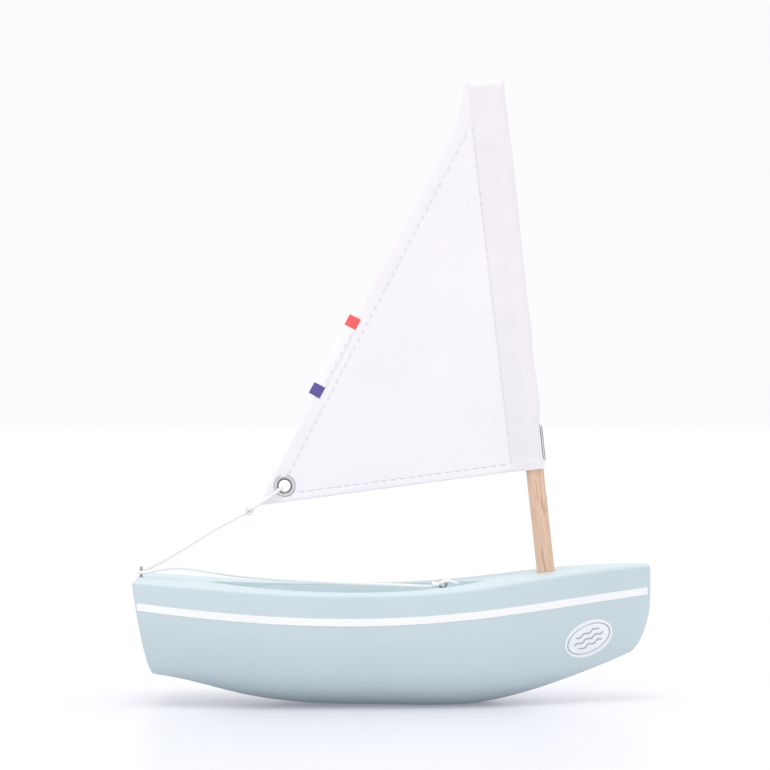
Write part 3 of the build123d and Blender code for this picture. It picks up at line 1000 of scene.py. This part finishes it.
def screw_eye(name, node, centre, ring_way, deck_z):
    """Wire bent into a ring that nearly closes, on a shank screwed into the wood."""
    made = bmesh.new()
    shank_foot = centre.z - deck_z + 1.0 * MM
    line = [Vector((0, 0, -shank_foot)), Vector((0, 0, -EYE_RADIUS * MM - 0.35 * MM))]
    turns = 40
    for i in range(1, turns + 1):
        angle = mix(math.radians(-82), math.radians(252), i / turns)
        line.append((ring_way * math.cos(angle) + Vector((0, 0, 1)) * math.sin(angle)) * EYE_RADIUS * MM)
    tube(made, [centre + p for p in line], EYE_WIRE, 12)
    thread = []
    for i in range(61):
        angle = 2 * math.pi * i / 15
        down = mix(-0.2, 1.0, i / 60) * MM
        forward = SCREW_THREAD_OUT * math.cos(angle)
        port = SCREW_THREAD_OUT * math.sin(angle)
        thread.append(centre + Vector((forward, port, down - shank_foot)))
    tube(made, thread, 0.14 * MM, 6)
    place(name, made, [ZINC], "hull", node, slot="screw_eye_wire")


def screw_eyes():
    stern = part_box("stern_screw_eye")
    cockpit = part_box("cockpit_screw_eye")
    stern_centre = Vector((middle("stern_screw_eye").x, 0, stern[1].z - STERN_EYE_BELOW_TOP))
    cockpit_centre = Vector((middle("cockpit_screw_eye").x, 0, cockpit[1].z - COCKPIT_EYE_BELOW_TOP))
    screw_eye("stern_eye_wire", "stern_screw_eye", stern_centre, SIDE, STERN_DECK_Z)
    screw_eye("cockpit_eye_wire", "cockpit_screw_eye", cockpit_centre, Vector((1, 0, 0)), COCKPIT_FLOOR_Z)


# ---- the stage -------------------------------------------------------------------------

def stage():
    mesh = bpy.data.meshes.new("floor")
    made = bmesh.new()
    bmesh.ops.create_circle(made, cap_ends=True, radius=6.0, segments=96)
    made.to_mesh(mesh)
    made.free()
    floor = bpy.data.objects.new("floor", mesh)
    bpy.context.scene.collection.objects.link(floor)
    n = Nodes("pale_floor")
    colour = n.ramp(n.noise(3.0), [(0.3, (0.640, 0.640, 0.650)), (0.7, (0.650, 0.650, 0.660))])
    n.shader.inputs["Emission Color"].default_value = (0.160, 0.160, 0.185, 1)
    n.shader.inputs["Emission Strength"].default_value = 1.0
    mesh.materials.append(n.finish(colour, n.between(n.noise(9.0), 0.3, 0.34), Specular_IOR_Level=0.3))


SUN_STRENGTH = 1.0
SUN_FROM = (-0.1, -0.36, 1.0)
SUN_SPREAD = math.radians(34)


def lights():
    world = bpy.data.worlds.new("studio")
    world.use_nodes = True
    background = world.node_tree.nodes["Background"]
    background.inputs["Color"].default_value = (0.970, 0.970, 0.982, 1)
    background.inputs["Strength"].default_value = 1.0
    bpy.context.scene.world = world
    bpy.context.scene.view_settings.view_transform = "Standard"
    light = bpy.data.lights.new("soft_sun", "SUN")
    light.energy = SUN_STRENGTH
    light.angle = SUN_SPREAD
    light.color = (1.0, 0.985, 0.96)
    lamp = bpy.data.objects.new("soft_sun", light)
    lamp.rotation_euler = Vector(SUN_FROM).to_track_quat("Z", "Y").to_euler()
    bpy.context.scene.collection.objects.link(lamp)


CAMERA_DISTANCE = 1.0
CAMERA_HEIGHT = 0.1036
FRAME_WIDTH = 0.2516
AIM_X = -0.0017
CAMERA_YAW = math.radians(1.5)


def camera():
    """Level, at half the boat's height, a little towards the stern from square on."""
    lens = bpy.data.cameras.new("camera")
    lens.sensor_width = 36.0
    lens.lens = lens.sensor_width * CAMERA_DISTANCE / FRAME_WIDTH
    lens.clip_start = 0.01
    eye = bpy.data.objects.new("camera", lens)
    away = Vector((-math.sin(CAMERA_YAW), -math.cos(CAMERA_YAW), 0))
    eye.location = Vector((AIM_X, 0, CAMERA_HEIGHT)) + away * CAMERA_DISTANCE
    eye.rotation_euler = (math.pi / 2, 0, -CAMERA_YAW)
    bpy.context.scene.collection.objects.link(eye)
    bpy.context.scene.camera = eye


sheet_cords()
cloth_piece = sail()
stitching()
label()
label_stitches()
eyelet()
staple()
screw_eyes()
stage()
lights()
camera()
